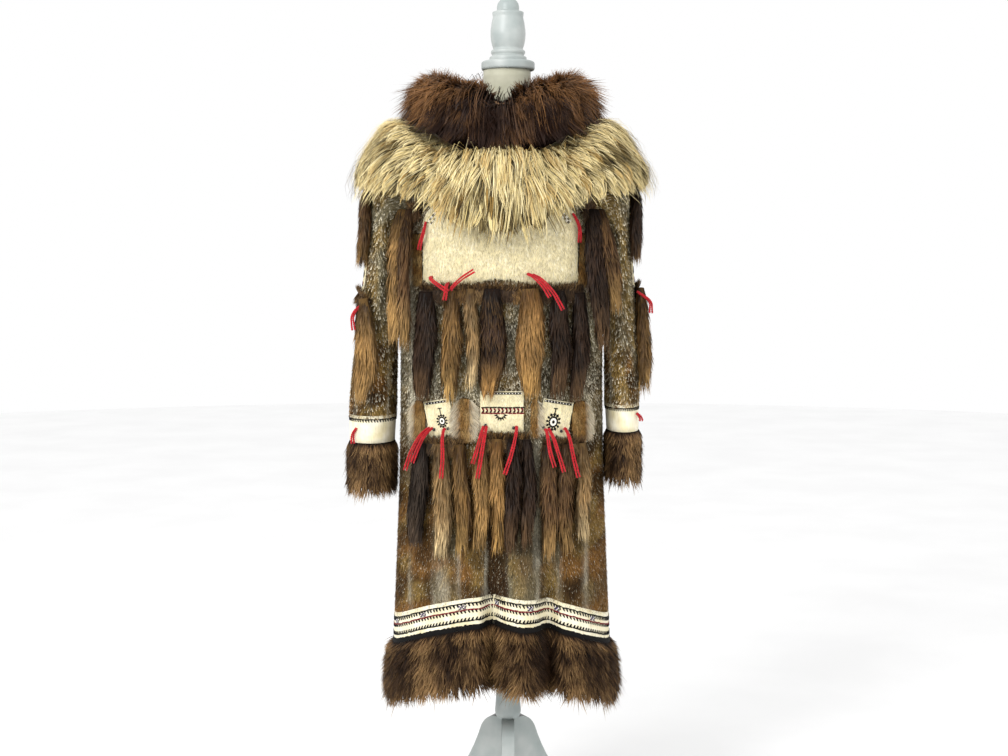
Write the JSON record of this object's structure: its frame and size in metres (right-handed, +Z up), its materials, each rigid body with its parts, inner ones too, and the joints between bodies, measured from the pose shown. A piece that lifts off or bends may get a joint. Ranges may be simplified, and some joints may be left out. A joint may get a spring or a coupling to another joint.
{
  "type": "squirrel skin parka on a dress form stand",
  "caption": "Knee-length squirrel skin parka with a two-fur collar, calfskin plates, hanging tails and a fur hem, standing on a limbless dress form.",
  "frame": {"origin": "on the floor, under the middle of the whole outline", "axes": "+Z up, -Y out of the front of the parka, +X to the right as seen from the front"},
  "size_m": [0.6088, 0.4708, 1.705],
  "materials": {
    "squirrel_skin": "short speckled squirrel fur, dull",
    "dark_fur": "long dark brown fur, soft sheen",
    "wolf_fur": "long pale wolf fur with dark tips",
    "trim_fur": "dense brown fur",
    "tail_fur": "hanging fur tails",
    "calfskin": "cream short-haired calfskin",
    "red_yarn": "matt wool yarn",
    "form_cloth": "plain woven cover",
    "painted_wood": "white satin paint on turned and sawn wood"
  },
  "bodies": {
    "root": {"stand_pole": "painted_wood", "neck_cap": "painted_wood", "finial": "painted_wood", "leg_front": "painted_wood", "leg_right": "painted_wood", "leg_left": "painted_wood", "dress_form": "form_cloth", "body_front": "squirrel_skin", "body_back": "squirrel_skin", "sleeve_left": "squirrel_skin", "sleeve_right": "squirrel_skin", "chest_trim_left": "squirrel_skin", "chest_trim_right": "squirrel_skin", "waist_skin_left_outer": "squirrel_skin", "waist_skin_left_inner": "squirrel_skin", "waist_skin_right_inner": "squirrel_skin", "waist_skin_right_outer": "squirrel_skin", "hem_band_front": "calfskin", "hem_band_back": "calfskin", "cuff_band_left": "calfskin", "cuff_band_right": "calfskin", "sleeve_plate_left": "calfskin", "sleeve_plate_right": "calfskin", "chest_plate": "calfskin", "waist_plate_left": "calfskin", "waist_plate_centre": "calfskin", "waist_plate_right": "calfskin", "hem_fur_front": "trim_fur", "hem_fur_back": "trim_fur", "cuff_fur_left": "trim_fur", "cuff_fur_right": "trim_fur", "sleeve_tails_upper_left": "tail_fur", "sleeve_tails_upper_right": "tail_fur", "sleeve_tails_lower_left": "tail_fur", "sleeve_tails_lower_right": "tail_fur", "shoulder_tails_left": "tail_fur", "shoulder_tails_right": "tail_fur", "chest_tails": "tail_fur", "waist_tails_left": "tail_fur", "waist_tails_centre": "tail_fur", "waist_tails_right": "tail_fur", "collar_dark": "dark_fur", "collar_wolf": "wolf_fur", "chest_yarn": "red_yarn", "waist_yarn_left": "red_yarn", "waist_yarn_centre": "red_yarn", "waist_yarn_right": "red_yarn"}
  },
  "joints": []
}
